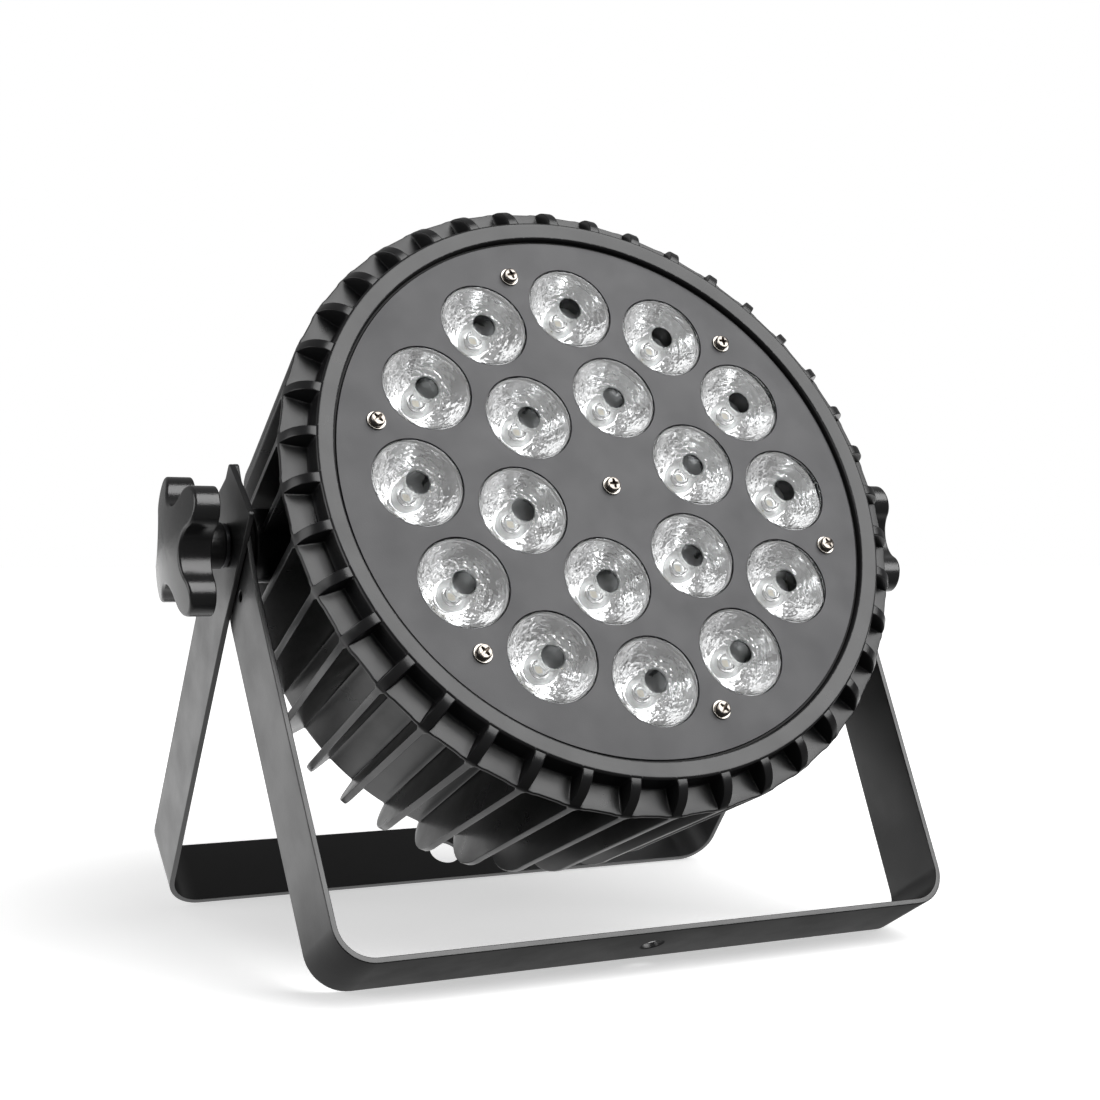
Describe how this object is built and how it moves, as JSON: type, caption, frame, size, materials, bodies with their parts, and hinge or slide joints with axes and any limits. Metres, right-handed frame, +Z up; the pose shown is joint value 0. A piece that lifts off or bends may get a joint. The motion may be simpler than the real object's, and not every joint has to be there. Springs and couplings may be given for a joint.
{
  "type": "par can light",
  "caption": "Round ribbed LED par lamp with a lens-filled face, tilting between two U-shaped floor or hanging yokes clamped by star knobs.",
  "frame": {"origin": "centre of the object's footprint box on the floor", "axes": "+X along the pivot, to the right seen from the beam side; -Y is the way the beam leans; +Z up"},
  "size_m": [0.2996, 0.211, 0.2729],
  "materials": {
    "yoke_paint": "satin black powder coat on steel strip",
    "cast_paint": "cast, semi-matte black paint",
    "plate_paint": "sheet, fine satin charcoal powder coat",
    "screw_steel": "nickel plated steel",
    "rubber": "matte",
    "lens_acrylic": "clear moulded acrylic",
    "black_plastic": "moulded",
    "knob_plastic": "moulded, fine grain",
    "button_plastic": "moulded",
    "board_metal": "white solder mask",
    "phosphor": "phosphor under clear silicone",
    "circuit_board": "green solder mask",
    "supply_metal": "pressed sheet",
    "window_plastic": "smoked"
  },
  "bodies": {
    "front_yoke": {"front_yoke": "yoke_paint"},
    "rear_yoke": {"rear_yoke": "yoke_paint"},
    "head": {"housing": "cast_paint", "front_plate": "plate_paint", "gasket": "rubber", "face_screws": "screw_steel", "face_washers": "screw_steel", "lens_carrier": "black_plastic", "lens_inner_1": "lens_acrylic", "lens_inner_2": "lens_acrylic", "lens_inner_3": "lens_acrylic", "lens_inner_4": "lens_acrylic", "lens_inner_5": "lens_acrylic", "lens_inner_6": "lens_acrylic", "lens_outer_1": "lens_acrylic", "lens_outer_2": "lens_acrylic", "lens_outer_3": "lens_acrylic", "lens_outer_4": "lens_acrylic", "lens_outer_5": "lens_acrylic", "lens_outer_6": "lens_acrylic", "lens_outer_7": "lens_acrylic", "lens_outer_8": "lens_acrylic", "lens_outer_9": "lens_acrylic", "lens_outer_10": "lens_acrylic", "lens_outer_11": "lens_acrylic", "lens_outer_12": "lens_acrylic", "led_board": "board_metal", "led_emitters": "phosphor", "driver_board": "circuit_board", "power_supply": "supply_metal", "inner_screws": "screw_steel", "rear_cover": "plate_paint", "rear_cover_screws": "screw_steel", "display_window": "window_plastic", "display_board": "circuit_board", "signal_in": "black_plastic", "signal_out": "black_plastic", "power_in": "black_plastic", "power_out": "black_plastic", "socket_screws": "screw_steel", "fuse_holder": "black_plastic", "safety_eye": "plate_paint", "pivot_stud_left": "screw_steel", "pivot_stud_right": "screw_steel", "friction_pad_left": "rubber", "friction_pad_right": "rubber"},
    "button_1": {"menu_button_1": "button_plastic"},
    "button_2": {"menu_button_2": "button_plastic"},
    "button_3": {"menu_button_3": "button_plastic"},
    "button_4": {"menu_button_4": "button_plastic"},
    "latch": {"signal_latch": "screw_steel"},
    "fuse_cap": {"fuse_cap": "black_plastic"},
    "washer_left": {"clamp_washer_left": "screw_steel"},
    "knob_left": {"knob_left": "knob_plastic"},
    "washer_right": {"clamp_washer_right": "screw_steel"},
    "knob_right": {"knob_right": "knob_plastic"}
  },
  "joints": [
    {"name": "head_tilt", "type": "hinge", "parent": "front_yoke", "child": "head", "pos_m": [0, -0.00698, 0.14346], "axis": [1, 0, 0], "range_deg": [-90, 116]},
    {"name": "rear_yoke_spread", "type": "hinge", "parent": "front_yoke", "child": "rear_yoke", "pos_m": [0, -0.00698, 0.14346], "axis": [1, 0, 0], "range_deg": [-66, 110]},
    {"name": "menu_press_1", "type": "slide", "parent": "head", "child": "button_1", "axis": [0, -0.8988, 0.4384], "range_m": [0, 0.001], "stiffness_N_per_m": 400, "springref_m": -0.0004},
    {"name": "menu_press_2", "type": "slide", "parent": "head", "child": "button_2", "axis": [0, -0.8988, 0.4384], "range_m": [0, 0.001], "stiffness_N_per_m": 400, "springref_m": -0.0004},
    {"name": "menu_press_3", "type": "slide", "parent": "head", "child": "button_3", "axis": [0, -0.8988, 0.4384], "range_m": [0, 0.001], "stiffness_N_per_m": 400, "springref_m": -0.0004},
    {"name": "menu_press_4", "type": "slide", "parent": "head", "child": "button_4", "axis": [0, -0.8988, 0.4384], "range_m": [0, 0.001], "stiffness_N_per_m": 400, "springref_m": -0.0004},
    {"name": "signal_latch_press", "type": "slide", "parent": "head", "child": "latch", "axis": [0, -0.8988, 0.4384], "range_m": [0, 0.002], "stiffness_N_per_m": 500, "springref_m": -0.0004},
    {"name": "fuse_cap_turn", "type": "hinge", "parent": "head", "child": "fuse_cap", "pos_m": [0, 0.04974, 0.1069], "axis": [0, 0.8988, -0.4384], "range_deg": [0, 90]},
    {"name": "clamp_slide_left", "type": "slide", "parent": "head", "child": "washer_left", "axis": [-1, 0, 0], "range_m": [0, 0.0028]},
    {"name": "clamp_turn_left", "type": "hinge", "parent": "washer_left", "child": "knob_left", "pos_m": [-0.1385, -0.00698, 0.14346], "axis": [-1, 0, 0], "range_deg": [0, 720]},
    {"name": "clamp_slide_right", "type": "slide", "parent": "head", "child": "washer_right", "axis": [1, 0, 0], "range_m": [0, 0.0028]},
    {"name": "clamp_turn_right", "type": "hinge", "parent": "washer_right", "child": "knob_right", "pos_m": [0.1385, -0.00698, 0.14346], "axis": [1, 0, 0], "range_deg": [0, 720]}
  ],
  "couplings": [
    {"joint": "clamp_slide_left", "follows": "clamp_turn_left", "m_per_rad": 0.00019894},
    {"joint": "clamp_slide_right", "follows": "clamp_turn_right", "m_per_rad": 0.00019894}
  ]
}
